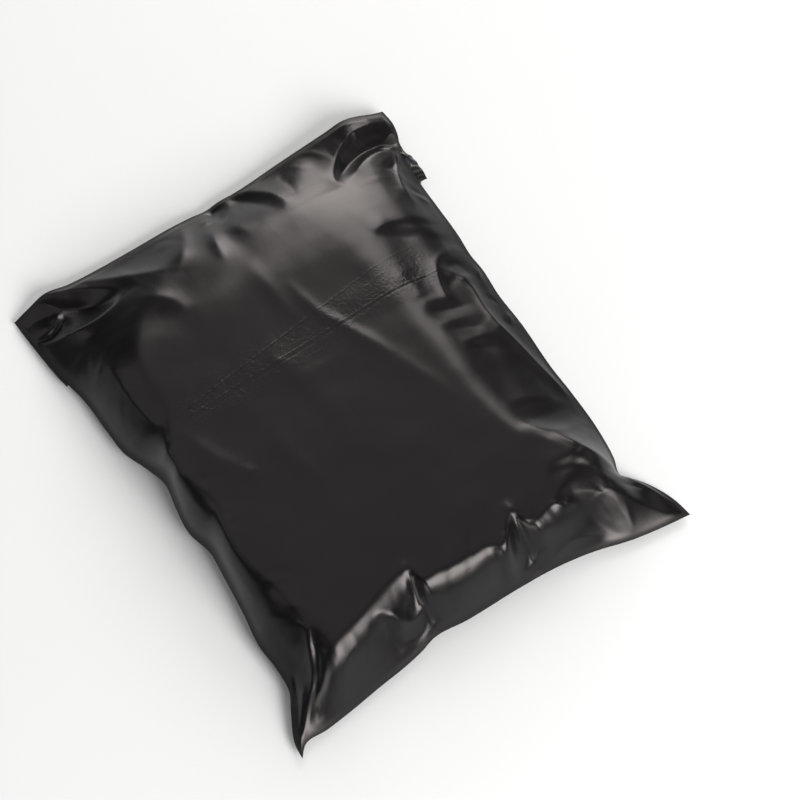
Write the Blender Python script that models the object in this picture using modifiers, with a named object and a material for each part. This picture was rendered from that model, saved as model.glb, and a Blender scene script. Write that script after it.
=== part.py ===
"""A filled and sealed poly mailer bag, lying on its flap side.

One sheet of black film is folded at the bottom, heat-welded along both sides and
closed by a glued flap that is folded under at the mouth. It holds a soft folded
stack and can't be seen into, so the bag is one closed solid.

Axes: +X across the bag, +Y towards the mouth, +Z up. The origin is under the middle
of the bag's outline, on the surface that it lies on.
"""

import bmesh
import bpy
import numpy as np

MM = 0.001

# Driving dimensions of the filled bag
FILL_TOP = 41 * MM  # height of the filled face above the surface that it lies on
CROWN = 1.5 * MM  # how much the middle of that face stands above its rim
WELD_THICKNESS = 0.6 * MM  # the melted bead where both layers are joined
FLAP_DEPTH = 50 * MM  # from the mouth fold to the flap's free edge
FLAP_THICKNESS = 0.8 * MM  # film, glue strip and the small gap between them
FLAP_RIGHT_OVERHANG = 6 * MM  # how far the flap's right end stands out past the weld
FLAP_LEFT_OVERHANG = 1 * MM
MOUTH_INSET = 1.5 * MM  # the flap's root starts this far inside the mouth fold
LEAST_CLEARANCE = 0.1 * MM  # the flap never reaches the surface that the bag lies on

# Cage cells across and along, before one level of subdivision
BAG_CELLS = (17, 21)
FLAP_CELLS = (11, 3)

# The bag's rim: x, y and height in millimetres. Each edge ends in the tip of an ear.
MOUTH_LEFT = (-125, 147.5, 3)
MOUTH_RIGHT = (119, 146, 9)
BOTTOM_LEFT = (-125, -150.5, 4)
BOTTOM_RIGHT = (125, -149.5, 4)
MOUTH_FOLD = [
    MOUTH_LEFT,
    (-103, 150, 9),
    (-48, 149, 9),
    (2.5, 147.5, 9),
    (52, 149.5, 12),
    (92, 150.5, 17),
    (107, 149.5, 13),
    MOUTH_RIGHT,
]
BOTTOM_FOLD = [
    BOTTOM_LEFT,
    (-107.5, -144, 4),
    (-72, -140.5, 5),
    (-47, -137.5, 6),
    (-33.5, -134, 7),
    (23, -135, 7),
    (63.5, -140, 6),
    (89, -145.5, 5),
    BOTTOM_RIGHT,
]
LEFT_WELD = [
    BOTTOM_LEFT,
    (-118, -129, 7),
    (-111, -117, 8),
    (-111.5, -85, 11),
    (-105.5, -32.5, 13),
    (-108, -14.5, 13),
    (-106, 14, 13),
    (-115, 50, 9),
    (-116, 82, 8),
    MOUTH_LEFT,
]
RIGHT_WELD = [
    BOTTOM_RIGHT,
    (122, -131.5, 5),
    (105.5, -111, 8),
    (109, -80, 12),
    (109.5, 0, 14),
    (110.5, 50, 13),
    (112, 90, 10),
    (113.5, 119, 9),
    (120, 135, 8),
    MOUTH_RIGHT,
]

# Width of each slope between rim and filled face, as a share of the bag's size
TOP_SLOPES = {"left": 0.11, "right": 0.24, "bottom": 0.13, "mouth": 0.27}
UNDER_SLOPES = {"left": 0.12, "right": 0.14, "bottom": 0.15, "mouth": 0.20}

FILM_COLOUR = (0.018, 0.017, 0.018, 1.0)
FILM_ROUGHNESS = 0.34


def clear_scene():
    for obj in list(bpy.data.objects):
        bpy.data.objects.remove(obj)


def film_material():
    material = bpy.data.materials.new("black_film")
    material.use_nodes = True
    shader = material.node_tree.nodes["Principled BSDF"]
    shader.inputs["Base Color"].default_value = FILM_COLOUR
    shader.inputs["Roughness"].default_value = FILM_ROUGHNESS
    shader.inputs["Metallic"].default_value = 0.0
    return material


def along_edge(points, shares):
    """Points on a Catmull-Rom curve through the given ones, at shares of its chord length."""
    knots = np.array(points, float) * MM
    lengths = np.linalg.norm(np.diff(knots, axis=0), axis=1)
    places = np.concatenate([[0], np.cumsum(lengths)]) / lengths.sum()
    tangents = np.gradient(knots, places, axis=0)
    span = np.clip(np.searchsorted(places, shares, "right") - 1, 0, len(knots) - 2)
    step = (places[span + 1] - places[span])[:, None]
    t = (shares[:, None] - places[span][:, None]) / step
    return (
        (2 * t**3 - 3 * t**2 + 1) * knots[span]
        + (t**3 - 2 * t**2 + t) * step * tangents[span]
        + (3 * t**2 - 2 * t**3) * knots[span + 1]
        + (t**3 - t**2) * step * tangents[span + 1]
    )


def rim_patch(u, v):
    """Coons patch between the four edges: the sheet on which the rim lies, at (u, v)."""
    u_side, v_side = u[:, None], v[:, None]
    ruled_v = (1 - v_side) * along_edge(BOTTOM_FOLD, u) + v_side * along_edge(MOUTH_FOLD, u)
    ruled_u = (1 - u_side) * along_edge(LEFT_WELD, v) + u_side * along_edge(RIGHT_WELD, v)
    corners = (
        (1 - u_side) * (1 - v_side) * np.array(BOTTOM_LEFT)
        + u_side * (1 - v_side) * np.array(BOTTOM_RIGHT)
        + (1 - u_side) * v_side * np.array(MOUTH_LEFT)
        + u_side * v_side * np.array(MOUTH_RIGHT)
    ) * MM
    return ruled_u + ruled_v - corners


def rise(distance, width):
    """0 at the rim and 1 from width inwards, with a smooth start and end."""
    t = np.clip(distance / width, 0, 1)
    return t * t * (3 - 2 * t)


def filling(u, v, slopes):
    """How far the film stands away from the rim, from 0 at the rim to 1 over the contents."""
    across = rise(u, slopes["left"]) * rise(1 - u, slopes["right"])
    along = rise(v, slopes["bottom"]) * rise(1 - v, slopes["mouth"])
    return across * along


def upper_panel(u, v):
    points = rim_patch(u, v)
    crown = CROWN * np.sin(np.pi * u) * np.sin(np.pi * v)
    points[:, 2] += (FILL_TOP - points[:, 2]) * filling(u, v, TOP_SLOPES) + crown
    points[:, 2] += WELD_THICKNESS / 2
    return points


def lower_panel(u, v):
    points = rim_patch(u, v)
    points[:, 2] = (points[:, 2] - WELD_THICKNESS / 2) * (1 - filling(u, v, UNDER_SLOPES))
    return points


def flap_place(u, t):
    """The bag's own u and v under the flap, t running from its free edge to the mouth."""
    bag_length = (MOUTH_LEFT[1] - BOTTOM_LEFT[1]) * MM
    from_mouth = FLAP_DEPTH + (MOUTH_INSET - FLAP_DEPTH) * t
    return u, 1 - from_mouth / bag_length


def spread(points, u, t):
    """The flap's two ends stand out past the welds, less and less towards the mouth."""
    stand_out = FLAP_RIGHT_OVERHANG * rise(u, 1.0) - FLAP_LEFT_OVERHANG * rise(1 - u, 1.0)
    points[:, 0] += stand_out * (1 - rise(t, 1.0))
    return points


def flap_inner(u, t):
    """The flap's inner skin, on the rim's own sheet, so well inside the bag's solid."""
    return spread(rim_patch(*flap_place(u, t)), u, t)


def flap_outer(u, t):
    points = lower_panel(*flap_place(u, t))
    points[:, 2] = np.maximum(points[:, 2] - FLAP_THICKNESS, LEAST_CLEARANCE)
    return spread(points, u, t)


def add_panel(mesh, shape, cells, flip):
    """A grid of cells across and along, whose every vertex is moved to shape(u, v)."""
    made = bmesh.ops.create_grid(mesh, x_segments=cells[0], y_segments=cells[1], size=0.5)
    verts = made["verts"]
    flat = np.array([vert.co[:2] for vert in verts]) + 0.5
    for vert, place in zip(verts, shape(flat[:, 0], flat[:, 1])):
        vert.co = place
    if flip:
        faces = list({face for vert in verts for face in vert.link_faces})
        bmesh.ops.reverse_faces(mesh, faces=faces)


def closed_pair(name, upper, lower, cells, material, collection):
    """Two panels joined all round, with rim and corners kept sharp when they are smoothed."""
    mesh = bmesh.new()
    rim_crease = mesh.edges.layers.float.new("crease_edge")
    corner_crease = mesh.verts.layers.float.new("crease_vert")
    add_panel(mesh, upper, cells, flip=False)
    add_panel(mesh, lower, cells, flip=True)
    for vert in mesh.verts:
        vert[corner_crease] = float(len(vert.link_edges) == 2)
    rim = [edge for edge in mesh.edges if edge.is_boundary]
    for edge in rim:
        edge[rim_crease] = 1.0
    bmesh.ops.bridge_loops(mesh, edges=rim)
    bmesh.ops.recalc_face_normals(mesh, faces=mesh.faces)
    data = bpy.data.meshes.new(name)
    mesh.to_mesh(data)
    mesh.free()
    data.materials.append(material)
    data.shade_smooth()
    obj = bpy.data.objects.new(name, data)
    collection.objects.link(obj)
    rounding = obj.modifiers.new("Subdivision", "SUBSURF")
    rounding.levels = 1
    rounding.render_levels = 1
    return obj


def main():
    clear_scene()
    parts = bpy.data.collections.new("poly_mailer_bag")
    helpers = bpy.data.collections.new("helpers")
    for collection in (parts, helpers):
        bpy.context.scene.collection.children.link(collection)
    material = film_material()
    bag = closed_pair("mailer_bag", upper_panel, lower_panel, BAG_CELLS, material, parts)
    flap = closed_pair("flap", flap_inner, flap_outer, FLAP_CELLS, material, helpers)
    flap.hide_render = True
    flap.display_type = "WIRE"
    join = bag.modifiers.new("Flap", "BOOLEAN")
    join.operation = "UNION"
    join.object = flap


main()
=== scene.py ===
"""A filled and sealed black poly mailer bag, with the studio that it is shown in.

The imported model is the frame. The bag's film is one closed surface laid between the
rim's four edges: an upper sheet over the soft contents and a lower sheet that lies on
the ground. Its folds, puckers and creases are strokes that raise or sink the sheet.
"""

import math

import bmesh
import bpy
import numpy as np
from mathutils import Matrix, Vector


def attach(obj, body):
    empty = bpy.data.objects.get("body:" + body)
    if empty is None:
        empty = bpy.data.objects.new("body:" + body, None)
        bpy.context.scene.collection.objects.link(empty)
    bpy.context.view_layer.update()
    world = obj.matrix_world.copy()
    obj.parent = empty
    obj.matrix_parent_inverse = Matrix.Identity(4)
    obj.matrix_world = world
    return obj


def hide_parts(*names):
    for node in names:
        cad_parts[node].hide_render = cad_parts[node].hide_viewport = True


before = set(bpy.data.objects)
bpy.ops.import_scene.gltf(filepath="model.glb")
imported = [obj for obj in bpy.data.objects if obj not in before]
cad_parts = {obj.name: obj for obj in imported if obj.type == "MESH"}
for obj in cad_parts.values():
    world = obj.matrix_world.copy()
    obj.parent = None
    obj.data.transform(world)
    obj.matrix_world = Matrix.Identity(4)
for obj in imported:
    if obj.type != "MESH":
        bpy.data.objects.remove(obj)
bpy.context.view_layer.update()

bl_info = {
    "name": "Poly Mailer Bag",
    "version": (1, 0, 0),
    "blender": (4, 5, 0),
    "location": "3D View > Sidebar > Mailer Bag",
    "description": "Builds a filled poly mailer bag, its closing flap and a plain studio",
    "category": "Add Mesh",
}

MM = 0.001
MERGE_DISTANCE = 0.01 * MM

# The studio, in metres; the camera's last two lines are directions
CAMERA_PLACE = (-0.311, -0.4773, 1.3572)
CAMERA_FORWARD = (0.23141, 0.31869, -0.91918)
CAMERA_UP = (0.49779, 0.77298, 0.39333)
SENSOR_WIDTH_MM = 36
LIGHT_DISTANCE = 2.0
WARM_WHITE = (1.0, 0.93, 0.9)
FLOOR_SIZE = 12.0
FLOOR_ROUGHNESS = 0.7

# Bearing and elevation in degrees, width and height in metres, brightness
SOFTBOXES = {
    "back_low": (32, 14, (1.2, 0.7), 10.0),
    "back_high": (42, 38, (1.5, 0.9), 7.0),
    "front": (170, 38, (1.0, 1.2), 19.0),
    "left_low": (222, 14, (1.2, 0.7), 5.0),
    "left_fill": (300, 38, (1.4, 1.2), 1.0),
    "right_side": (104, 30, (0.9, 0.9), 0.8),
    "overhead": (0, 76, (2.0, 1.6), 0.8),
}

# The rim of the film, in millimetres: x, y and height above the ground
MOUTH_LEFT = (-125, 147.5, 3)
MOUTH_RIGHT = (119, 146.5, 9)
BOTTOM_LEFT = (-124.5, -150.5, 4)
BOTTOM_RIGHT = (125, -149.8, 4)
MOUTH_FOLD = [
    MOUTH_LEFT,
    (-114, 149.2, 7),
    (-103, 150.3, 11),
    (-90, 148.6, 10),
    (-70, 148.6, 8),
    (-48, 148.6, 8),
    (-20, 148.3, 9),
    (-8, 147.6, 9),
    (0, 147.2, 8),
    (8, 147.8, 9),
    (18, 147.3, 10),
    (50, 149, 12),
    (80, 149.5, 16),
    (95, 149.6, 18),
    (103, 148.4, 16),
    (112, 147, 12),
    MOUTH_RIGHT,
]
BOTTOM_FOLD = [
    BOTTOM_LEFT,
    (-119.5, -145.4, 5),
    (-105, -144.4, 4),
    (-88, -142.6, 4),
    (-70, -140.3, 5),
    (-50, -138, 6),
    (-40, -136.2, 7),
    (-33, -134.2, 8),
    (-10, -135, 7),
    (25, -135.2, 7),
    (46, -136.3, 7),
    (68, -139.5, 6),
    (90, -145, 5),
    (108, -147.8, 4),
    BOTTOM_RIGHT,
]
LEFT_WELD = [
    BOTTOM_LEFT,
    (-124, -143, 5),
    (-117, -127.5, 7),
    (-111.5, -117, 8),
    (-110.8, -105, 10),
    (-112, -88, 11),
    (-109.8, -70, 12),
    (-107.5, -45, 13),
    (-106.5, -31, 13),
    (-110.3, -15, 14),
    (-108.5, 2, 13),
    (-106.3, 16, 13),
    (-110.5, 31, 12),
    (-115, 44, 10),
    (-116.2, 62, 9),
    (-117, 82, 8),
    (-121, 106, 6),
    (-123.5, 130, 4),
    MOUTH_LEFT,
]
RIGHT_WELD = [
    BOTTOM_RIGHT,
    (123, -139, 4),
    (118, -127.5, 5),
    (111.5, -118, 6),
    (105, -111.5, 8),
    (107.5, -102, 9),
    (109.3, -84, 11),
    (109, -60, 13),
    (108.3, -40, 13),
    (109, -10, 14),
    (108.3, 12, 14),
    (109.8, 31, 13),
    (109.2, 40, 13),
    (110.6, 56, 12),
    (111, 78, 11),
    (111.4, 96, 10),
    (113, 112, 9),
    (116, 124, 8),
    (118.5, 130, 8),
    (120, 137, 8),
    MOUTH_RIGHT,
]

# The ridge, in mm: the middle of the rounding between each side's slope and the filled
# face, as the coordinate along that side and then the ridge's other coordinate
LEFT_RIDGE = [(-160, -84), (-122, -88), (-101, -91), (-80, -98), (-50, -102), (-20, -100.5),
              (15, -103.5), (40, -99), (62, -100), (85, -97), (105, -88), (125, -68), (160, -50)]
RIGHT_RIDGE = [(-160, 96), (-112, 94), (-83, 80), (-68, 67), (-40, 60), (0, 57), (50, 56),
               (75, 60), (100, 58), (125, 46), (160, 40)]
BOTTOM_RIDGE = [(-130, -124), (-112, -128), (-98, -127), (-80, -122), (-65, -117), (-54, -113.5),
                (-44, -110.5), (-36, -107), (-31, -105), (-28, -112), (-26, -117), (-22, -119),
                (-17, -120.3), (-7, -123), (5, -122), (15, -120.5), (20, -124), (25, -119),
                (30, -112), (34, -107.5), (37, -116), (40, -118), (43, -121), (48, -121),
                (56, -120), (64, -117), (72, -113), (84, -108), (96, -106), (130, -100)]
MOUTH_RIDGE = [(-130, 84), (-95, 92), (-50, 98), (0, 101), (50, 97), (90, 84), (130, 76)]
BOTTOM_RIDGE_MOVE = (0.9, 1.3)
LEAST_SIDE_SLOPE = 4
LEAST_END_SLOPE = 6

# How long the rounding across each ridge is, in mm, along that side as above; it is at
# most MOST_ROUNDING times the slope's width
LEFT_SHOULDER = [(-160, 16), (-120, 18), (-80, 20), (-20, 22), (15, 26), (45, 36), (85, 56),
                 (120, 70), (160, 70)]
RIGHT_SHOULDER = [(-160, 10), (-83, 14), (-60, 14), (0, 18), (50, 22), (100, 44), (160, 50)]
BOTTOM_SHOULDER = [(-130, 8), (-98, 12), (-78, 15), (-58, 13), (-46, 15), (-32, 10), (-26, 10),
                   (-18, 17), (5, 17), (16, 11), (26, 9), (36, 8), (45, 10), (56, 15), (68, 18),
                   (90, 22), (130, 16)]
MOUTH_SHOULDER = [(-130, 40), (-50, 50), (50, 60), (130, 60)]
MOST_ROUNDING = 1.9

# How wide the lower sheet's slope is, as a share of the upper one's, and how it bows
LEFT_UNDER = 1.6
RIGHT_UNDER = 0.6
BOTTOM_UNDER = 1.5
MOUTH_UNDER = 0.7
UNDER_BOW = 1.7

# Strokes on the upper sheet: width on the left of the path, width on its right, how
# blunt the crest is (1 sharp, 2 round), then x, y and height along the path, all in
# millimetres. A negative height is a groove.
STROKES = {
    # the pocket at the mouth's left corner
    "left_pocket_arc": (7, 3, 1.2, [(-104, 150, 1), (-91, 143.5, 2.5), (-79, 135, 2.5),
                                    (-70, 125, 1), (-69, 119, 0)]),
    "left_pocket_floor": (5, 9, 1.5, [(-112, 146, -3), (-100, 137, -6.5), (-88, 129, -6.5),
                                      (-77, 122.5, -2), (-71, 121, 0)]),
    "left_pocket_rim": (5, 7, 1.2, [(-122, 127, 1), (-112, 119.5, 4), (-99, 115, 4.5),
                                    (-85, 114.5, 4), (-72, 119, 1.5), (-68, 124, 0)]),
    "left_pocket_slot": (1.8, 2.4, 1.2, [(-120, 129, -2), (-113, 127.5, -5), (-105, 128.5, -2),
                                         (-101, 130, 0)]),
    "left_pocket_lip": (2.4, 2, 1.1, [(-113, 129, 0), (-108, 131.5, 2.1), (-102, 135, 0.6),
                                      (-98, 137, 0)]),
    "left_brow": (6, 9, 1.3, [(-90, 150, 1), (-72, 138, 3), (-56, 127, 3), (-44, 119, 1.5),
                              (-34, 112, 0)]),
    "left_tongue": (9, 8, 1.3, [(-98, 101, 0), (-78, 97, -0.8), (-62, 93, -0.8), (-48, 89, 0)]),
    "left_tongue_edge": (5, 8, 1.2, [(-66, 112, 0), (-56, 104, 1.2), (-49, 92, 1),
                                     (-50, 84, 0)]),
    # the mouth
    "mouth_swell": (6, 11, 1.4, [(-16, 150, 1), (-22, 137, 2.6), (-29, 124, 2.4),
                                 (-38, 112, 0)]),
    "mouth_tuck": (2.5, 1.6, 1.1, [(0.5, 150, -3.5), (0.5, 142, -2.5), (-1, 137, 0)]),
    "mouth_tuck_bowl": (3.5, 4.5, 1.8, [(5, 147, -0.6), (6, 140, -1.4), (3, 133, -1.2),
                                        (1, 129, 0)]),
    "mouth_tuck_lip": (2, 2.6, 1.2, [(10, 148, 0), (10, 139, 0.8), (6, 131, 0.7), (0, 128, 0)]),
    "mouth_knot": (2.2, 2.2, 1.2, [(-9, 139, 0), (-5, 137, 1), (-2, 134, 0.5), (-3, 131, 0)]),
    "mouth_pleat": (3, 2.2, 1.1, [(-7, 131, 0), (-9, 124, 1.2), (-12, 112, 1.1), (-14, 100, 0)]),
    "mouth_pleat_side": (5, 3, 1.3, [(2, 129, 0), (4, 121, 0.7), (9, 109, 0)]),
    "mouth_sweep_floor": (3, 5, 1.2, [(12, 149, 0), (17, 141, -1.2), (24, 129, -1.6),
                                      (31, 114, 0)]),
    "mouth_sweep_crest": (7, 3, 1.2, [(18, 149, 0), (25, 141, 1.8), (33, 129, 2.2),
                                      (35, 117, 0.6), (33, 110, 0)]),
    "mouth_nick": (2.5, 4, 1.3, [(29, 143, 0), (36, 146, -1), (43, 149.5, -0.6)]),
    "mouth_bulge": (9, 9, 2, [(50, 146, 0), (54, 134, 1.4), (50, 120, 0)]),
    # the pocket at the mouth's right corner
    "right_pocket_arc": (15, 3, 1.2, [(66, 109, 0), (66.5, 116, 2.5), (72, 125, 4), (80, 132.5, 5),
                                     (90, 137.5, 5.5), (104, 138.5, 5.5), (120, 137, 4)]),
    "right_pocket_floor": (4.5, 6, 1.2, [(67, 114, 0), (76, 120.5, -3.6), (88, 126, -6),
                                         (101, 128, -6.4), (119, 128.5, -4.8)]),
    "right_pocket_sill": (4, 8, 1.2, [(72, 110, 0), (84, 117, 2.4), (98, 122, 3.2),
                                      (110, 122, 2.4), (117, 121, 1)]),
    "sill_wrinkle_a": (1.1, 1.3, 1.1, [(90, 125, 0), (101, 125.6, 1.1), (112, 122.5, 1),
                                       (117, 121, 0)]),
    "sill_wrinkle_b": (1.1, 1.5, 1.1, [(97, 128, 0), (104, 124, -1), (113, 119.5, 0)]),
    "pocket_lip_line": (1.4, 1.4, 1.2, [(86, 143, 0), (95, 144.5, 0.8), (103, 141, 0)]),
    "flap_side_ridge": (3, 2.4, 1.05, [(112, 122, 0), (108.5, 116, 1.2), (104, 108, 2),
                                       (100, 99, 2), (98.5, 90, 1), (98, 80, 0)]),
    "flap_side_fold": (3, 3, 1.2, [(100, 96, 0), (104, 89, -1.2), (109, 83, -0.6)]),
    "flap_side_rib": (2, 2, 1.1, [(101, 91, 0), (105, 85, 1.4), (109.5, 79, 0)]),
    # the right slope
    "right_dent_crest": (9, 3, 1.15, [(62, 72, 0), (67, 73.5, 1.4), (78, 74.5, 1.8),
                                      (92, 72, 1), (106, 66, 0)]),
    "right_dent_floor": (5, 6, 1.2, [(62, 71, 0), (70, 67, -1.2), (82, 61, -1.3), (94, 57, -0.6),
                                     (104, 52, 0)]),
    "right_hook": (3.5, 2.6, 1.05, [(77, 12, 0), (78, 22, 1.4), (80.5, 32, 2), (85, 40, 2.2),
                                    (91, 44, 2.2), (100, 46.5, 1.2), (107, 46, 0)]),
    "right_hook_floor": (4, 4, 1.3, [(86, 36, 0), (92, 38, -1), (97, 36, -1.1), (99, 29, -0.4),
                                     (99, 25, 0)]),
    "right_hook_fold": (3, 2.6, 1.1, [(84, 37, 0), (90, 31, 1.6), (94.5, 27, 2.2),
                                      (100, 26, 1), (106, 28, 0)]),
    "right_seam_ridge": (2.6, 4, 1.05, [(93, 29, 0), (95.5, 20, 2), (94, 8, 2.2), (94, -3, 2.6),
                                        (97, -16, 2.8), (100, -30, 2.8), (103, -45, 2.2),
                                        (106, -57, 1), (107, -64, 0)]),
    "right_edge_tuck": (1.8, 2, 1.1, [(101, -8, 0), (105, -4, 1.8), (110, -2, 1)]),
    "right_edge_tuck_b": (1.8, 2, 1.1, [(104, 24, 0), (106.5, 29, 1.6), (110, 31, 1)]),
    "ripple_a_crest": (4, 2.2, 1.3, [(60, 19, 0), (66, 20.5, 0.8), (76, 19.5, 0.9), (84, 16, 0)]),
    "ripple_a_floor": (2.2, 3, 1.3, [(60, 15, 0), (67, 13, -0.9), (78, 11, -0.8), (88, 9, 0)]),
    "ripple_b_crest": (3, 2.2, 1.3, [(63, 4, 0), (70, 5.5, 0.7), (80, 5, 0.7), (90, 2, 0)]),
    "ripple_b_floor": (2.2, 3.4, 1.3, [(63, 2, 0), (71, -0.5, -0.8), (82, -4, -0.8), (92, -8, 0)]),
    "ripple_c_crest": (3.4, 2.4, 1.3, [(68, -10, 0), (76, -9.5, 0.8), (90, -12, 0.6),
                                       (97, -15, 0)]),
    "ripple_c_floor": (2.4, 5, 1.4, [(69, -12, 0), (77, -15, -1), (90, -21, 0)]),
    "ripple_d": (2.6, 2.6, 1.3, [(57, 44, 0), (64, 43, 0.7), (72, 43, 0)]),
    "ripple_e": (2.6, 2.6, 1.3, [(58, 26, 0), (66, 27.5, 0.9), (76, 27, 0)]),
    "right_low_crest": (5, 3, 1.2, [(66, -55, 0), (76, -53, 0.8), (90, -57, 0.7), (104, -65, 0)]),
    "right_low_floor": (4, 3, 1.3, [(70, -66, 0), (80, -67, -0.5), (94, -67, -0.4),
                                    (104, -68, 0)]),
    "right_tongue": (3, 3, 1.1, [(66, -68, 0), (71, -72, 1.6), (79, -78, 1.8), (92, -80, 1),
                                 (102, -74, 0)]),
    "right_corner_ridge": (4, 3.4, 1.05, [(78, -80, 0), (83, -87, 2.6), (91, -99, 3.6),
                                          (103, -112, 3.2), (113, -125, 2.6), (119.5, -138, 1.6),
                                          (124, -148, 0)]),
    "right_corner_hollow": (5, 5, 1.5, [(62, -99, 0), (74, -101, -1.6), (86, -107, -2),
                                        (98, -118, -1.2), (108, -132, 0)]),
    "right_corner_swell": (4, 5, 1.5, [(62, -93, 0), (74, -95, 1), (86, -99, 0)]),
    "ear_lens_floor": (6, 4, 1.3, [(70, -115, 0), (72, -124, -1.2), (79, -134, -1.6),
                                   (88, -144, -0.5)]),
    "ear_lens_crest": (5, 3, 1.2, [(69, -114, 0), (75, -116, 1), (85, -121.5, 1.6),
                                   (91, -131, 1.5), (92, -144, 0.5)]),
    "ear_brow": (5, 5, 1.3, [(84, -118, 0), (97, -127, 2), (109, -138, 1.6), (120, -148, 0)]),
    # the bottom ridge and the wall under it
    "bottom_lens": (3, 3.6, 1.1, [(-54, -115, 0), (-54, -123, -2.6), (-52.5, -130, -1.6),
                                  (-51, -134, 0)]),
    "bottom_lens_side": (3, 2.6, 1.1, [(-49, -116, 0), (-46, -124, 2.4), (-47, -131, 0)]),
    "bottom_fold_left": (3.4, 2, 1.05, [(-56, -113, 0), (-48, -119.5, 2.2), (-41, -124, 3),
                                        (-34.5, -123.5, 2.6), (-30, -118, 1.6), (-27.5, -113, 0)]),
    "bottom_fold_left_floor": (2.4, 3, 1.1, [(-52, -124, 0), (-44, -129.5, -1.4), (-36, -130, -1.4),
                                             (-29, -126, 0)]),
    "bottom_groove_left": (2, 2.6, 1.1, [(-29.5, -104, 0), (-30.5, -111, -2), (-32, -117, -1.6),
                                         (-34, -122, 0)]),
    "bottom_crest_left": (3, 1.6, 1.05, [(-29, -97, 0), (-31.5, -104, 1.6), (-33.5, -111, 2),
                                         (-37, -117, 0)]),
    "bottom_rib_left": (1.5, 1.8, 1.05, [(-28, -114, 0), (-27.5, -121, 2.7), (-26.5, -129, 0)]),
    "bottom_crest_right": (2.4, 2.6, 1.05, [(31.5, -126, 0), (32.5, -116, 2.6), (33.5, -107, 2.2),
                                            (34.5, -99, 0)]),
    "bottom_rib_right": (1.5, 1.8, 1.05, [(41, -117, 0), (41.2, -123, 2.2), (41, -128, 0)]),
    "bottom_crest_small": (1.8, 2.2, 1.1, [(22, -126, 0), (23.5, -119, 1.8), (25, -113, 0)]),
    "bottom_glint_a": (1.6, 2, 1.1, [(54, -113, 0), (58, -116.5, 1.8), (62, -121, 0)]),
    "bottom_glint_b": (1.6, 2, 1.1, [(60, -114, 0), (64, -118, 1.5), (67, -121, 0)]),
    "hem_crease_a": (2.4, 2.4, 1.1, [(-36, -136, 0), (-30, -130.5, 2.4), (-20, -133, 1.4),
                                     (-8, -127, 0)]),
    "hem_crease_b": (2, 2.4, 1.1, [(24, -137, 0), (30, -132, 1.7), (40, -129, 1), (44, -131, 0)]),
    "hem_crease_c": (2, 2.4, 1.1, [(42, -137, 0), (48, -133.5, 1.7), (60, -132, 1.4),
                                   (78, -136, 0)]),
    # the bottom's left ear
    "left_ear_crest": (3, 2.2, 1.05, [(-99, -93, 0), (-91, -101, 2.4), (-95, -111, 3.2),
                                      (-100, -122, 3), (-111, -134, 2.4), (-122, -146, 0.6)]),
    "left_ear_groove": (2.4, 3, 1.1, [(-89, -103, 0), (-92, -113, -2.6), (-98, -124, -3),
                                      (-108, -133, -2), (-118, -142, 0)]),
    "left_ear_slot": (1.8, 2.2, 1.1, [(-105, -112, 0), (-110, -121, -3), (-114, -129, -2.4),
                                      (-120, -139, -1)]),
    "left_ear_rib": (2, 2, 1.05, [(-105, -120, 0), (-110, -128, 2), (-117, -137, 1.6),
                                  (-124, -147, 0)]),
    "left_low_facet": (4, 3, 1.15, [(-113, -86, 0), (-104, -84, 1.4), (-96, -90, 1),
                                    (-91, -100, 0)]),
    # the left wall
    "left_strip_edge": (4, 2.4, 1.1, [(-99, 92, 0), (-99.5, 76, 1), (-99.5, 58, 1.6),
                                      (-97.5, 42, 1.4), (-96, 36, 0)]),
    "left_strip_foot": (3, 3, 1.1, [(-115, 44, 1), (-108, 41.5, 1.6), (-98, 41, 0)]),
    "left_crumple": (1.8, 1.8, 1.1, [(-99, 39, 0), (-97, 36, -1), (-93, 35, 0)]),
    "left_edge_crest": (2, 2.4, 1.1, [(-112, 38, 0), (-106.5, 24, 1.6), (-103.5, 8, 1.6),
                                      (-102, -8, 1), (-100, -20, 0)]),
    "left_diamond": (2, 2.2, 1.05, [(-110.5, -15, 1), (-105, -17.5, 1.6), (-100, -21, 0)]),
    "left_line": (2, 2.2, 1.1, [(-106.5, -30, 0), (-104, -42, 1), (-103.5, -60, 1),
                                (-103, -78, 0)]),
    # the filled face
    "face_ridge": (2.6, 4, 1.3, [(7, 73, 0), (8, 61, 0.8), (12, 46, 1.2), (19, 31, 1.2),
                                 (27, 14, 0.5), (31, 2, 0)]),
    "face_swell_a": (5, 8, 1.6, [(19, 31, 0), (28, 10, 1), (38, -14, 1), (50, -44, 0)]),
    "face_swell_b": (5, 7, 1.6, [(-88, 30, 0), (-82, 8, 1), (-72, -10, 0.8), (-66, -22, 0)]),
    "face_swell_c": (6, 7, 1.8, [(-48, 2, 0), (-44, -22, 0.8), (-38, -46, 0)]),
    "face_swell_d": (4, 6, 1.5, [(-5, 96, 0), (-3, 74, 0.8), (-1, 56, 0.6), (2, 42, 0)]),
    "face_swell_e": (7, 7, 2, [(-24, 60, 0), (-20, 30, 0.4), (-14, 0, 0.4), (-10, -30, 0)]),
    "face_line": (1.2, 1.6, 1.2, [(-24, 20, 0), (-8, 18.5, 0.2), (10, 18, 0)]),
    "knot_a": (1.6, 1.6, 1.1, [(-28, 37, 0), (-22, 33, 0.5), (-16, 26, 0)]),
    "knot_b": (1.4, 1.4, 1.1, [(10, 40, 0), (16, 37.5, 0.6), (22, 33, 0)]),
    "knot_c": (1.4, 1.4, 1.1, [(56, 36, 0), (61, 40, 0.8), (66, 34, 0.5), (70, 38, 0)]),
    "knot_d": (1.4, 1.6, 1.1, [(60, 34, 0), (65, 31, 0.8), (70, 34, 0)]),
    "knot_e": (1.8, 1.8, 1.2, [(-72, -8, 0), (-68, -13, 0.6), (-64, -14, 0)]),
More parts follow.
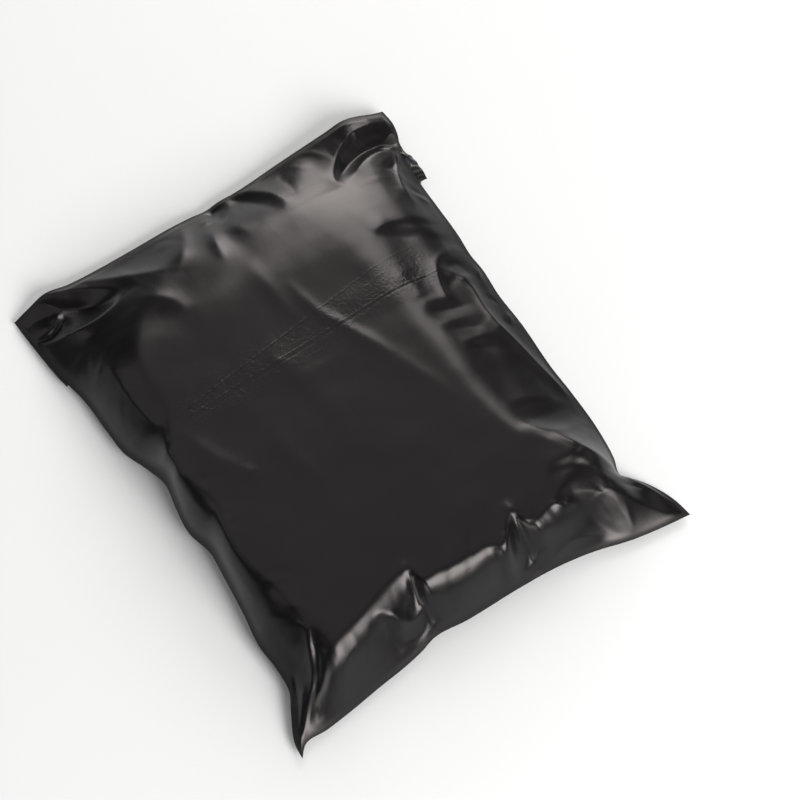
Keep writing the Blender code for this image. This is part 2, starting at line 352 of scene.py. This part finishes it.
    "knot_f": (2, 2, 1.2, [(-94, -82, 0), (-90, -88, 0.7), (-86, -90, 0)]),
}

# How far in from the rim the strokes reach their full height, in mm, how many widths a
# stroke reaches, and how finely the curves are followed
FOLD_FADE = 5
STROKE_REACH = 5
STROKE_SAMPLES = 6
RIDGE_SAMPLES = 400
EDGE_SAMPLES = 600

# The filled face, in mm: its crown's radii, and where it starts to sink towards the bottom
CROWN_RADII = (90, 120)
FALL_START = 25.0
FALL_LENGTH = 145.0
FALL_SHIFT = (0.25, 0.35)

# Small creases drawn at random: on each side the way inwards and their number, then the
# ranges of their length, start, height and width in mm, and the spreads of lean and sway
CREASE_SEED = 5
CREASE_SIDES = ((LEFT_WELD, (1, 0), 50), (RIGHT_WELD, (-1, 0), 50),
                (BOTTOM_FOLD, (0, 1), 36), (MOUTH_FOLD, (0, -1), 26))
CREASE_PLACES = (0.06, 0.94)
CREASE_LENGTHS = (8, 34)
CREASE_STARTS = (1, 12)
CREASE_HEIGHTS = (0.15, 0.6)
CREASE_WIDTHS = (0.8, 2.2)
CREASE_LEAN = 0.6
CREASE_SWAY = 0.08
CREASE_BLUNT = 1.1

# Slow waves all over the upper sheet, in mm; each is bent by a sine along y
WAVE_SEED = 2
WAVE_COUNT = 18
WAVE_SLOPE = 0.0011
WAVE_LENGTHS = (14, 60)
WAVE_BEND = 4
WAVE_BEND_RADIUS = 23

# The flap and the glue's crumpled end, in mm. The lower sheet clears the ground by
# LOWER_SHEET_LIFT over the flap, and along y it rises to that over LIFT_LENGTH.
LOWER_SHEET_LIFT = 0.45
LIFT_START = 78.0
LIFT_LENGTH = 16.0
BEAD_GAP = 0.15
MOUTH_INSET = 1.0
FLAP_CLEARANCE = 0.12
FLAP_INNER_LEAST = 0.35
FLAP_OUTER_LEAST = 0.05
FLAP_LEFT_STEP = 1.2
FLAP_COUNTS = (161, 41)
GLUE_PATH = [(111.5, 121, 8), (114.4, 115, 7.4), (115, 108, 6.6), (114.6, 102, 6),
             (112.4, 97, 5.6)]
GLUE_RADIUS = 2.6
GLUE_STRETCH = (1.05, 0.9)
GLUE_ROUGHNESS = 0.22

# The crinkled band across the face, in mm: its middle line, half its width, half its
# length, the length of its fading ends, and the height below which there is none
CRINKLE_BAND = [(-84, 34), (-30, 35), (20, 38), (66, 41)]
CRINKLE_HALF_WIDTH = 12.0
CRINKLE_HALF_LENGTH = 90
CRINKLE_FADE = 12
CRINKLE_LEAST_HEIGHT = 20

# Crease lines in the band: y at the middle in mm, rise across x, and height
CREASE_LINES = [(47, 0.13, 0.3), (35, 0.03, 0.22), (33, 0.04, -0.16)]
CREASE_LINE_WIDTH = 0.8
LINE_WANDER = 2

# The film's finish: gloss, and how much rougher it is at the weld and in cloudy patches
FILM_SPECULAR = 0.25
FILM_IOR = 1.52
WELD_WIDTH = 3.5
WELD_ROUGHNESS = 0.4
CLOUD_ROUGHNESS = 0.1
DRAWN_SCALE = (500, 40, 100)


def along_edge(points, shares):
    """Catmull-Rom curve p(s): cubic Hermite spans between the points, whose tangents are the
    slopes of their neighbours over the chord length s, taken at the given shares of it."""
    knots = np.array(points, float)
    lengths = np.linalg.norm(np.diff(knots, axis=0), axis=1)
    places = np.concatenate([[0], np.cumsum(lengths)]) / lengths.sum()
    tangents = np.gradient(knots, places, axis=0)
    span = np.clip(np.searchsorted(places, shares, "right") - 1, 0, len(knots) - 2)
    step = (places[span + 1] - places[span])[..., None]
    t = (shares[..., None] - places[span][..., None]) / step
    return (
        (2 * t**3 - 3 * t**2 + 1) * knots[span]
        + (t**3 - 2 * t**2 + t) * step * tangents[span]
        + (3 * t**2 - 2 * t**3) * knots[span + 1]
        + (t**3 - t**2) * step * tangents[span + 1]
    )


def rim_patch(u, v):
    """Coons patch: the sheet ruled from bottom to mouth, plus the one ruled from left to
    right, less the plane through the corners, so that it meets all four edges."""
    a, b = u[..., None], v[..., None]
    ruled_v = (1 - b) * along_edge(BOTTOM_FOLD, u) + b * along_edge(MOUTH_FOLD, u)
    ruled_u = (1 - a) * along_edge(LEFT_WELD, v) + a * along_edge(RIGHT_WELD, v)
    corners = (
        (1 - a) * (1 - b) * np.array(BOTTOM_LEFT)
        + a * (1 - b) * np.array(BOTTOM_RIGHT)
        + (1 - a) * b * np.array(MOUTH_LEFT)
        + a * b * np.array(MOUTH_RIGHT)
    )
    return ruled_u + ruled_v - corners


def line_at(points, at):
    """Smooth curve through (position, value) points, read at the given positions."""
    fine = along_edge(points, np.linspace(0, 1, RIDGE_SAMPLES))
    return np.interp(at, fine[:, 0], fine[:, 1])


def edge_at(points, at, axis):
    """The rim edge's other coordinate where its coordinate along the given axis is at."""
    fine = along_edge(points, np.linspace(0, 1, EDGE_SAMPLES))
    order = np.argsort(fine[:, axis])
    return np.interp(at, fine[order, axis], fine[order, 1 - axis])


def rounded(distance, width, shoulder):
    """distance / width up to half a shoulder before the ridge, 1 from half a shoulder past
    it, and between them distance less e^2 / (2 shoulder), where e starts at 0: a parabola
    that joins the straight slope to the level face."""
    length = np.minimum(shoulder, MOST_ROUNDING * width)
    entered = np.clip(distance - width + length / 2, 0, length)
    held = np.minimum(distance, width + length / 2)
    return np.clip((held - entered**2 / (2 * length)) / width, 0, 1)


def sides(x, y):
    """For each side: the distance from it, its slope's width (ridge less rim), its
    rounding's length and the share of the width that the lower sheet's slope takes."""
    left_x, right_x = edge_at(LEFT_WELD, y, 1), edge_at(RIGHT_WELD, y, 1)
    bottom_y, mouth_y = edge_at(BOTTOM_FOLD, x, 0), edge_at(MOUTH_FOLD, x, 0)
    bottom_ridge_y = line_at(BOTTOM_RIDGE, x - BOTTOM_RIDGE_MOVE[0]) + BOTTOM_RIDGE_MOVE[1]
    return (
        (x - left_x, np.maximum(line_at(LEFT_RIDGE, y) - left_x, LEAST_SIDE_SLOPE),
         line_at(LEFT_SHOULDER, y), LEFT_UNDER),
        (right_x - x, np.maximum(right_x - line_at(RIGHT_RIDGE, y), LEAST_SIDE_SLOPE),
         line_at(RIGHT_SHOULDER, y), RIGHT_UNDER),
        (y - bottom_y, np.maximum(bottom_ridge_y - bottom_y, LEAST_END_SLOPE),
         line_at(BOTTOM_SHOULDER, x), BOTTOM_UNDER),
        (mouth_y - y, np.maximum(mouth_y - line_at(MOUTH_RIDGE, x), LEAST_END_SLOPE),
         line_at(MOUTH_SHOULDER, x), MOUTH_UNDER),
    )


def fullness(x, y):
    """Product of the four sides' rounded slopes: 0 at the rim, 1 over the contents."""
    return np.prod([rounded(distance, width, shoulder)
                    for distance, width, shoulder, _ in sides(x, y)], axis=0)


def under_fullness(x, y):
    """Product over the sides of 1 - (1 - t)^bow, with t = distance / (share * width)."""
    full = 1.0
    for distance, width, _, share in sides(x, y):
        t = np.clip(distance / (width * share), 0, 1)
        full = full * (1 - (1 - t) ** UNDER_BOW)
    return full


def nearest_on_path(x, y, path):
    """Signed distance to a polyline, positive on its left, and the height carried along
    it: the least distance over its segments wins, with the segment's own side."""
    best = np.full(x.shape, np.inf)
    signed = np.zeros(x.shape)
    height = np.zeros(x.shape)
    for (ax, ay, ah), (bx, by, bh) in zip(path[:-1], path[1:]):
        dx, dy = bx - ax, by - ay
        along = np.clip(((x - ax) * dx + (y - ay) * dy) / (dx * dx + dy * dy), 0, 1)
        off_x, off_y = x - ax - along * dx, y - ay - along * dy
        distance = np.hypot(off_x, off_y)
        nearer = distance < best
        best = np.where(nearer, distance, best)
        side = np.where(dx * off_y - dy * off_x >= 0, 1.0, -1.0)
        signed = np.where(nearer, side * distance, signed)
        height = np.where(nearer, ah + along * (bh - ah), height)
    return signed, height


def stroke(x, y, left, right, blunt, points):
    """height * exp(-(|s| / width)^blunt), where s is the distance from the smooth path, and
    0 further out than STROKE_REACH widths from the box round it."""
    reach = STROKE_REACH * max(left, right)
    spots = np.array(points, float)
    low, high = spots[:, :2].min(0) - reach, spots[:, :2].max(0) + reach
    near = (x > low[0]) & (x < high[0]) & (y > low[1]) & (y < high[1])
    path = along_edge(points, np.linspace(0, 1, STROKE_SAMPLES * len(points)))
    signed, height = nearest_on_path(x[near], y[near], path)
    width = np.where(signed >= 0, left, right)
    raised = np.zeros(x.shape)
    raised[near] = height * np.exp(-((np.abs(signed) / width) ** blunt))
    return raised


def fine_creases(x, y):
    """Sum of short sharp strokes that run inwards from the rim. Each starts at a random
    place along its side, leans to one side and sways at its middle, where it is highest."""
    draw = np.random.default_rng(CREASE_SEED)
    total = np.zeros(x.shape)
    for edge, inward, count in CREASE_SIDES:
        for start in along_edge(edge, draw.uniform(*CREASE_PLACES, count)):
            lean = draw.normal(0, CREASE_LEAN)
            length, offset = draw.uniform(*CREASE_LENGTHS), draw.uniform(*CREASE_STARTS)
            height = draw.uniform(*CREASE_HEIGHTS) * draw.choice((-1, 1))
            ahead = np.array(inward, float) + lean * np.array((inward[1], inward[0]), float)
            ahead /= np.linalg.norm(ahead)
            sway = draw.normal(0, CREASE_SWAY) * length * np.array((ahead[1], -ahead[0]))
            first = start[:2] + ahead * offset
            middle = start[:2] + ahead * (offset + length / 2) + sway
            last = start[:2] + ahead * (offset + length)
            points = [(*first, 0), (*middle, height), (*last, 0)]
            left, right = draw.uniform(*CREASE_WIDTHS), draw.uniform(*CREASE_WIDTHS)
            total += stroke(x, y, left, right, CREASE_BLUNT, points)
    return total


def undulation(x, y):
    """Sum of sine waves in all directions, each as high as WAVE_SLOPE times its length and
    bent by WAVE_BEND sin(y / WAVE_BEND_RADIUS + phase)."""
    draw = np.random.default_rng(WAVE_SEED)
    total = np.zeros(x.shape)
    lengths = draw.uniform(*WAVE_LENGTHS, WAVE_COUNT)
    turns = draw.uniform(0, np.pi, WAVE_COUNT)
    phases = draw.uniform(0, 2 * np.pi, WAVE_COUNT)
    for length, turn, phase in zip(lengths, turns, phases):
        bend = WAVE_BEND * np.sin(y / WAVE_BEND_RADIUS + phase)
        along = x * np.cos(turn) + y * np.sin(turn) + bend
        total += length * WAVE_SLOPE * np.sin(2 * np.pi * along / length + phase)
    return total


def spaced(count, pull=0.45):
    """t - pull sin(2 pi t) / (2 pi): even steps that tighten towards both ends."""
    t = np.linspace(0, 1, count)
    return t - pull * np.sin(2 * np.pi * t) / (2 * np.pi)


def soften(sheet):
    """Each inner point moves half way to the mean of its four neighbours."""
    mean = (sheet[:-2, 1:-1] + sheet[2:, 1:-1] + sheet[1:-1, :-2] + sheet[1:-1, 2:]) / 4
    sheet[1:-1, 1:-1] = (sheet[1:-1, 1:-1] + mean) / 2
    return sheet


def rim_fade(x, y, reach):
    """3t^2 - 2t^3, with t the least distance from the rim over reach: 0 on the rim, 1 inside."""
    least = np.min([distance for distance, _, _, _ in sides(x, y)], axis=0)
    t = np.clip(least / reach, 0, 1)
    return t * t * (3 - 2 * t)


def upper_sheet(settings, u, v):
    """Rim patch, raised by fullness to the contents' face, plus every stroke, in mm. The
    face is crowned as cos(x / r) cos(y / r), with r from CROWN_RADII, and sinks as s^2
    towards the bottom, where s runs from 0 at FALL_START over FALL_LENGTH. The strokes'
    places are those on a face that doesn't sink, so they move by FALL_SHIFT of the
    sinking."""
    points = rim_patch(u, v)
    x, y = points[..., 0], points[..., 1]
    sunk = settings.bottom_fall / MM * np.clip((FALL_START - y) / FALL_LENGTH, 0, 1) ** 2
    bulge = np.cos(x / CROWN_RADII[0]) * np.cos(y / CROWN_RADII[1])
    top = settings.fill_height / MM + settings.crown / MM * bulge
    full = fullness(x, y)
    z = points[..., 2] + (top - sunk - points[..., 2]) * full
    moved_x, moved_y = x - FALL_SHIFT[0] * sunk * full, y - FALL_SHIFT[1] * sunk * full
    folds = sum(stroke(moved_x, moved_y, *values) for values in STROKES.values())
    folds = folds + fine_creases(x, y) + undulation(x, y)
    z += settings.fold_depth * folds * rim_fade(x, y, FOLD_FADE)
    z += settings.film_bead / MM / 2
    points[..., 2] = soften(z)
    return points


def lower_sheet(settings, u, v):
    """Rim patch, lowered by its fullness to the ground, in mm. Where the flap lies under it,
    it is never lower than a lift that grows as 3t^2 - 2t^3 over LIFT_LENGTH."""
    points = rim_patch(u, v)
    bead = settings.film_bead / MM / 2
    level = (points[..., 2] - bead) * (1 - under_fullness(points[..., 0], points[..., 1]))
    t = np.clip((points[..., 1] - LIFT_START) / LIFT_LENGTH, 0, 1)
    points[..., 2] = np.maximum(level, LOWER_SHEET_LIFT * t * t * (3 - 2 * t))
    return points


def flap_sheets(settings, a, b):
    """The flap's inner and outer face, where a runs across and b from the mouth fold to the
    free edge. Both follow the lower sheet, a clearance and a thickness below it, and stay
    over the ground. The right end stands out past the weld by overhang * a^12 *
    (3b^2 - 2b^3)^0.5, cut off towards the mouth by 2.2 b - 0.9 held between 0 and 1, and
    waves up and down by 0.9 sin(0.5 y) + 0.4 sin(1.1 y + 0.6 x) there. The left end is
    moved outwards by FLAP_LEFT_STEP * (1 - a)^30 * b."""
    bag_length = MOUTH_LEFT[1] - BOTTOM_LEFT[1]
    from_mouth = MOUTH_INSET + (settings.flap_depth / MM - MOUTH_INSET) * b
    v = 1 - from_mouth / bag_length
    skin = rim_patch(a, v)
    x, y = skin[..., 0].copy(), skin[..., 1].copy()
    level = (skin[..., 2] - BEAD_GAP) * (1 - under_fullness(x, y))
    end = a**12 * (b * b * (3 - 2 * b)) ** 0.5
    near_end = end * np.clip(2.2 * b - 0.9, 0, 1)
    step = FLAP_LEFT_STEP * (1 - a) ** 30 * b
    skin[..., 0] = x + settings.flap_overhang / MM * near_end - step
    wave = near_end * (0.9 * np.sin(0.5 * y) + 0.4 * np.sin(1.1 * y + 0.6 * x))
    inner, outer = skin.copy(), skin.copy()
    thickness = settings.flap_thickness / MM
    inner[..., 2] = np.maximum(level - FLAP_CLEARANCE + wave, FLAP_INNER_LEAST)
    outer[..., 2] = np.maximum(level - FLAP_CLEARANCE - thickness + wave, FLAP_OUTER_LEAST)
    return inner, outer


def glue_bead(count_along=60, count_round=28):
    """Crumpled glue end: circles of radius r0 sin(pi t)^0.45 (1 + 0.22 sin(4 f + 9 t) +
    0.16 sin(3 f - 14 t)), stretched sideways and upwards, round a short path, closed to a
    point at both ends."""
    around = np.linspace(0, 2 * np.pi, count_round, endpoint=False)
    t, f = np.meshgrid(np.linspace(0, 1, count_along), around, indexing="ij")
    places = along_edge(GLUE_PATH, t)
    lumps = 1 + 0.22 * np.sin(4 * f + 9 * t) + 0.16 * np.sin(3 * f - 14 * t)
    radius = GLUE_RADIUS * np.clip(np.sin(np.pi * t), 0, 1) ** 0.45 * lumps
    places[..., 0] += radius * np.cos(f) * GLUE_STRETCH[0]
    places[..., 2] += radius * np.sin(f) * GLUE_STRETCH[1]
    index = np.arange(t.size).reshape(t.shape)
    after = np.roll(index, -1, axis=1)
    faces = np.stack([index[:-1], after[:-1], after[1:], index[1:]], axis=-1).reshape(-1, 4)
    return places.reshape(-1, 3) * MM, faces


def sheet_faces(rows, columns):
    """Quads of a grid whose vertices run column by column, facing up."""
    index = np.arange(rows * columns).reshape(rows, columns)
    corners = [index[:-1, :-1], index[1:, :-1], index[1:, 1:], index[:-1, 1:]]
    return np.stack(corners, axis=-1).reshape(-1, 4)


def rim_loop(rows, columns):
    """Grid indices once round the rim, anticlockwise seen from above."""
    index = np.arange(rows * columns).reshape(rows, columns)
    return np.concatenate([index[:-1, 0], index[-1, :-1], index[:0:-1, -1], index[0, :0:-1]])


def closed_sheets(upper, lower):
    """Vertices and quads of two sheets on one grid, joined by a band round their rim."""
    rows, columns = upper.shape[:2]
    faces = sheet_faces(rows, columns)
    total = rows * columns
    loop = rim_loop(rows, columns)
    following = np.roll(loop, -1)
    band = np.stack([loop + total, following + total, following, loop], axis=-1)
    vertices = np.concatenate([upper.reshape(-1, 3), lower.reshape(-1, 3)]) * MM
    return vertices, np.concatenate([faces, faces[:, ::-1] + total, band])


def mesh_object(name, vertices, faces, material):
    """A smooth object at the origin from arrays of vertices and quads."""
    mesh = bpy.data.meshes.new(name)
    mesh.from_pydata(vertices.tolist(), [], faces.tolist())
    mesh.validate()
    mesh.shade_smooth()
    mesh.materials.append(material)
    piece = bpy.data.objects.new(name, mesh)
    bpy.context.scene.collection.objects.link(piece)
    return piece


def paint(piece, name, values):
    """One number for each vertex, for the material to read."""
    attribute = piece.data.attributes.new(name, "FLOAT", "POINT")
    attribute.data.foreach_set("value", values.astype(np.float32))


def outward(piece):
    """Doubles at the poles are merged and the faces turned to point out."""
    work = bmesh.new()
    work.from_mesh(piece.data)
    bmesh.ops.remove_doubles(work, verts=work.verts, dist=MERGE_DISTANCE)
    bmesh.ops.recalc_face_normals(work, faces=work.faces)
    work.to_mesh(piece.data)
    work.free()


# Which output of a Texture Coordinate node is Object, and of an Attribute node is Factor
OBJECT_OUTPUT = 3
FACTOR_OUTPUT = 2


class Socket:
    """A node socket whose arithmetic adds Math nodes."""

    def __init__(self, tree, link):
        self.tree = tree
        self.link = link

    def math(self, operation, *others):
        values = {index + 1: other for index, other in enumerate(others)}
        return node(self.tree, "ShaderNodeMath", {"operation": operation}, {0: self, **values})

    def maximum(self, other):
        return self.math("MAXIMUM", other)

    def sibling(self, index):
        return Socket(self.tree, self.link.node.outputs[index])

    def __add__(self, other):
        return self.math("ADD", other)

    def __sub__(self, other):
        return self.math("SUBTRACT", other)

    def __mul__(self, other):
        return self.math("MULTIPLY", other)

    def __rsub__(self, other):
        return self.math("MULTIPLY_ADD", -1, other)

    __radd__ = __add__
    __rmul__ = __mul__


def node(tree, kind, settings, values, output=0):
    """Adds any node: its settings first, then its sockets' values or links."""
    made = tree.nodes.new(kind)
    for name, value in settings.items():
        setattr(made, name, value)
    for name, value in values.items():
        if isinstance(value, Socket):
            tree.links.new(value.link, made.inputs[name])
        else:
            made.inputs[name].default_value = value
    return Socket(tree, made.outputs[output])


def new_material(name):
    """A node material, its tree and the shader that it starts with."""
    material = bpy.data.materials.new(name)
    material.use_nodes = True
    return material, material.node_tree, material.node_tree.nodes["Principled BSDF"]


def film_material(settings):
    """Satin black polyethylene: near-black body, a skin of very fine waviness and cloudier
    patches, rougher where the weld attribute says, and where the crinkle attribute says,
    crinkles and crease lines 1 - (distance / CREASE_LINE_WIDTH)^2 high."""
    material, tree, shader = new_material("black_film")
    place = node(tree, "ShaderNodeTexCoord", {}, {}, OBJECT_OUTPUT)
    broad = node(tree, "ShaderNodeTexNoise", {}, {"Vector": place, "Scale": 14, "Detail": 3})
    skin = node(tree, "ShaderNodeTexNoise", {}, {"Vector": place, "Scale": 900, "Detail": 2})
    ripple = node(tree, "ShaderNodeTexNoise", {}, {"Vector": place, "Scale": 110, "Detail": 3})
    cracks = node(tree, "ShaderNodeTexVoronoi", {"feature": "DISTANCE_TO_EDGE"},
                  {"Vector": place, "Scale": 260})
    wrinkle = node(tree, "ShaderNodeTexNoise", {},
                   {"Vector": place, "Scale": 210, "Detail": 2, "Distortion": 1.5})
    grain = node(tree, "ShaderNodeMapping", {}, {"Vector": place, "Scale": DRAWN_SCALE})
    drawn = node(tree, "ShaderNodeTexNoise", {}, {"Vector": grain, "Scale": 1, "Detail": 2})
    crinkle = node(tree, "ShaderNodeAttribute", {"attribute_name": "crinkle"}, {}, FACTOR_OUTPUT)
    weld = node(tree, "ShaderNodeAttribute", {"attribute_name": "weld"}, {}, FACTOR_OUTPUT)
    smoothest = settings.film_roughness - CLOUD_ROUGHNESS / 2
    rough = broad * CLOUD_ROUGHNESS + weld * WELD_ROUGHNESS + smoothest
    split = node(tree, "ShaderNodeSeparateXYZ", {}, {"Vector": place})
    east = split * (1 / MM)
    north = split.sibling(1) * (1 / MM) + broad * LINE_WANDER
    lines = []
    for start, lean, height in CREASE_LINES:
        away = (north - (east * lean + start)) * (1 / CREASE_LINE_WIDTH)
        lines.append((1 - away * away).maximum(0) * (ripple * height))
    surface = broad * 1.5 + skin * 0.02 + ripple * 0.12 + drawn * 0.03
    relief = surface + (cracks * 0.05 + wrinkle * 0.35 + sum(lines)) * crinkle
    bump = node(tree, "ShaderNodeBump", {}, {"Height": relief, "Distance": MM, "Strength": 0.6})
    tree.links.new(rough.link, shader.inputs["Roughness"])
    tree.links.new(bump.link, shader.inputs["Normal"])
    shader.inputs["Base Color"].default_value = (*settings.film_colour, 1)
    shader.inputs["Specular IOR Level"].default_value = FILM_SPECULAR
    shader.inputs["IOR"].default_value = FILM_IOR
    return material


def plain_material(name, colour, roughness):
    """One colour, with its roughness varied a little about the mean by a fine noise."""
    material, tree, shader = new_material(name)
    place = node(tree, "ShaderNodeTexCoord", {}, {}, OBJECT_OUTPUT)
    grain = node(tree, "ShaderNodeTexNoise", {}, {"Vector": place, "Scale": 40, "Detail": 2})
    shader.inputs["Base Color"].default_value = (*colour, 1)
    tree.links.new((grain * 0.06 + (roughness - 0.03)).link, shader.inputs["Roughness"])
    return material


class FilmSettings(bpy.types.PropertyGroup):
    """Sizes and finish of the bag's film."""

    fill_height: bpy.props.FloatProperty(
        name="Fill Height", description="Height of the filled face over the ground",
        default=40.5 * MM, unit="LENGTH")
    crown: bpy.props.FloatProperty(
        name="Crown", description="How much the middle of the filled face stands up",
        default=2.5 * MM, unit="LENGTH")
    bottom_fall: bpy.props.FloatProperty(
        name="Bottom Fall", description="How much lower the filled face is at the bottom",
        default=4 * MM, unit="LENGTH")
    film_bead: bpy.props.FloatProperty(
        name="Film Bead", description="Thickness of the weld where both layers join",
        default=0.3 * MM, unit="LENGTH")
    fold_depth: bpy.props.FloatProperty(
        name="Fold Depth", description="Share of the full depth of every fold and pucker",
        default=0.8, subtype="FACTOR")
    cells_across: bpy.props.IntProperty(
        name="Cells Across", description="Quads across each sheet", default=200)
    cells_along: bpy.props.IntProperty(
        name="Cells Along", description="Quads along each sheet", default=238)
    film_colour: bpy.props.FloatVectorProperty(
        name="Film Colour", description="Body colour of the film", subtype="COLOR",
        default=(0.0016, 0.0014, 0.0018))
    film_roughness: bpy.props.FloatProperty(
        name="Film Roughness", description="Mean roughness of the film", default=0.3,
        subtype="FACTOR")


class FlapSettings(bpy.types.PropertyGroup):
    """Sizes and finish of the closing flap."""

    flap_depth: bpy.props.FloatProperty(
        name="Flap Depth", description="From the mouth fold to the flap's free edge",
        default=50 * MM, unit="LENGTH")
    flap_thickness: bpy.props.FloatProperty(
        name="Flap Thickness", description="Film and glue together", default=0.3 * MM,
        unit="LENGTH")
    flap_overhang: bpy.props.FloatProperty(
        name="Flap Overhang", description="How far its right end stands out past the weld",
        default=5.5 * MM, unit="LENGTH")
    glue_colour: bpy.props.FloatVectorProperty(
        name="Glue Colour", description="Colour of the glue's crumpled end", subtype="COLOR",
        default=(0.006, 0.008, 0.012))


class StageSettings(bpy.types.PropertyGroup):
    """The studio round the bag."""

    floor_colour: bpy.props.FloatVectorProperty(
        name="Floor Colour", description="Colour of the floor", subtype="COLOR",
        default=(0.475, 0.51, 0.525))
    world_strength: bpy.props.FloatProperty(
        name="Surroundings", description="Strength of the even light all round", default=0.085)
    lens: bpy.props.FloatProperty(
        name="Lens", description="Focal length of the camera in mm", default=120.2)


class MAILER_OT_film(bpy.types.Operator):
    """Lay the bag's two film sheets over its contents"""

    bl_idname = "mailer.film"
    bl_label = "Film Bag"

    def execute(self, context):
        settings = context.scene.mailer_film
        u, v = np.meshgrid(spaced(settings.cells_across + 1), spaced(settings.cells_along + 1),
                           indexing="ij")
        upper = upper_sheet(settings, u, v)
        lower = lower_sheet(settings, u, v)
        vertices, faces = closed_sheets(upper, lower)
        piece = mesh_object("mailer_film", vertices, faces, film_material(settings))
        x, y = vertices[:, 0] / MM, vertices[:, 1] / MM
        middle = np.array(CRINKLE_BAND, float)
        off = y - np.interp(x, middle[:, 0], middle[:, 1])
        ends = np.clip((CRINKLE_HALF_LENGTH - np.abs(x)) / CRINKLE_FADE, 0, 1)
        inside = np.exp(-((off / CRINKLE_HALF_WIDTH) ** 4)) * ends
        paint(piece, "crinkle", inside * (vertices[:, 2] > CRINKLE_LEAST_HEIGHT * MM))
        paint(piece, "weld", 1 - rim_fade(x, y, WELD_WIDTH))
        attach(piece, "root")
        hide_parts("mailer_bag")
        return {"FINISHED"}


class MAILER_OT_flap(bpy.types.Operator):
    """Stick the closing flap under the mouth, with its crumpled glue end"""

    bl_idname = "mailer.flap"
    bl_label = "Closing Flap"

    def execute(self, context):
        settings = context.scene.mailer_flap
        film = film_material(context.scene.mailer_film)
        a, b = np.meshgrid(spaced(FLAP_COUNTS[0]), np.linspace(0, 1, FLAP_COUNTS[1])[::-1],
                           indexing="ij")
        flap = mesh_object("closing_flap", *closed_sheets(*flap_sheets(settings, a, b)), film)
        outward(flap)
        glue = mesh_object("glue_end", *glue_bead(),
                           plain_material("glue", settings.glue_colour, GLUE_ROUGHNESS))
        outward(glue)
        for piece in (flap, glue):
            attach(piece, "root")
        return {"FINISHED"}


def softbox(name, bearing, elevation, size, brightness):
    """A rectangular light that faces the bag from LIGHT_DISTANCE. The bearing is clockwise
    from +Y, in degrees, and the power is brightness * area * pi, so brightness is what a
    mirror would show."""
    across, up = math.radians(bearing), math.radians(elevation)
    place = LIGHT_DISTANCE * Vector((math.sin(across) * math.cos(up),
                                     math.cos(across) * math.cos(up), math.sin(up)))
    data = bpy.data.lights.new(name, "AREA")
    data.shape = "RECTANGLE"
    data.size, data.size_y = size
    data.energy = brightness * size[0] * size[1] * math.pi
    data.color = WARM_WHITE
    light = bpy.data.objects.new(name, data)
    light.location = place
    light.rotation_euler = (-place).to_track_quat("-Z", "Y").to_euler()
    bpy.context.scene.collection.objects.link(light)


class MAILER_OT_stage(bpy.types.Operator):
    """Set up the floor, the lights and the camera"""

    bl_idname = "mailer.stage"
    bl_label = "Studio"

    def execute(self, context):
        settings = context.scene.mailer_stage
        corner = FLOOR_SIZE / 2
        vertices = np.array([(-corner, -corner, 0), (corner, -corner, 0), (corner, corner, 0),
                             (-corner, corner, 0)])
        floor = mesh_object("floor", vertices, np.array([[0, 1, 2, 3]]),
                            plain_material("pale_floor", settings.floor_colour, FLOOR_ROUGHNESS))
        for name, values in SOFTBOXES.items():
            softbox(name, *values)
        world = bpy.data.worlds.new("surroundings")
        world.use_nodes = True
        surroundings = world.node_tree.nodes["Background"]
        surroundings.inputs["Strength"].default_value = settings.world_strength
        surroundings.inputs["Color"].default_value = (1, 1, 1, 1)
        context.scene.world = world
        camera_data = bpy.data.cameras.new("camera")
        camera_data.lens = settings.lens
        camera_data.sensor_width = SENSOR_WIDTH_MM
        camera = bpy.data.objects.new("camera", camera_data)
        context.scene.collection.objects.link(camera)
        forward = Vector(CAMERA_FORWARD).normalized()
        side = forward.cross(Vector(CAMERA_UP)).normalized()
        turn = Matrix((side, side.cross(forward), -forward)).transposed()
        camera.matrix_world = Matrix.Translation(CAMERA_PLACE) @ turn.to_4x4()
        context.scene.camera = camera
        context.scene.view_settings.view_transform = "Standard"
        return {"FINISHED"}


class MAILER_PT_bag(bpy.types.Panel):
    """Lists the pieces of the mailer bag"""

    bl_label = "Mailer Bag"
    bl_space_type = "VIEW_3D"
    bl_region_type = "UI"
    bl_category = "Mailer Bag"

    def draw(self, context):
        for operator in OPERATORS:
            self.layout.operator(operator.bl_idname)
        scene = context.scene
        for group in (scene.mailer_film, scene.mailer_flap, scene.mailer_stage):
            for name in group.__annotations__:
                self.layout.prop(group, name)


OPERATORS = (MAILER_OT_film, MAILER_OT_flap, MAILER_OT_stage)
CLASSES = (FilmSettings, FlapSettings, StageSettings, *OPERATORS, MAILER_PT_bag)


def register():
    """Adds the classes and gives the scene its three groups of settings."""
    for cls in CLASSES:
        bpy.utils.register_class(cls)
    bpy.types.Scene.mailer_film = bpy.props.PointerProperty(type=FilmSettings)
    bpy.types.Scene.mailer_flap = bpy.props.PointerProperty(type=FlapSettings)
    bpy.types.Scene.mailer_stage = bpy.props.PointerProperty(type=StageSettings)


def unregister():
    """Takes away what register added."""
    del bpy.types.Scene.mailer_film
    del bpy.types.Scene.mailer_flap
    del bpy.types.Scene.mailer_stage
    for cls in reversed(CLASSES):
        bpy.utils.unregister_class(cls)


def main():
    """Builds every piece and the studio."""
    register()
    bpy.ops.mailer.film()
    bpy.ops.mailer.flap()
    bpy.ops.mailer.stage()


if __name__ == "__main__":
    main()
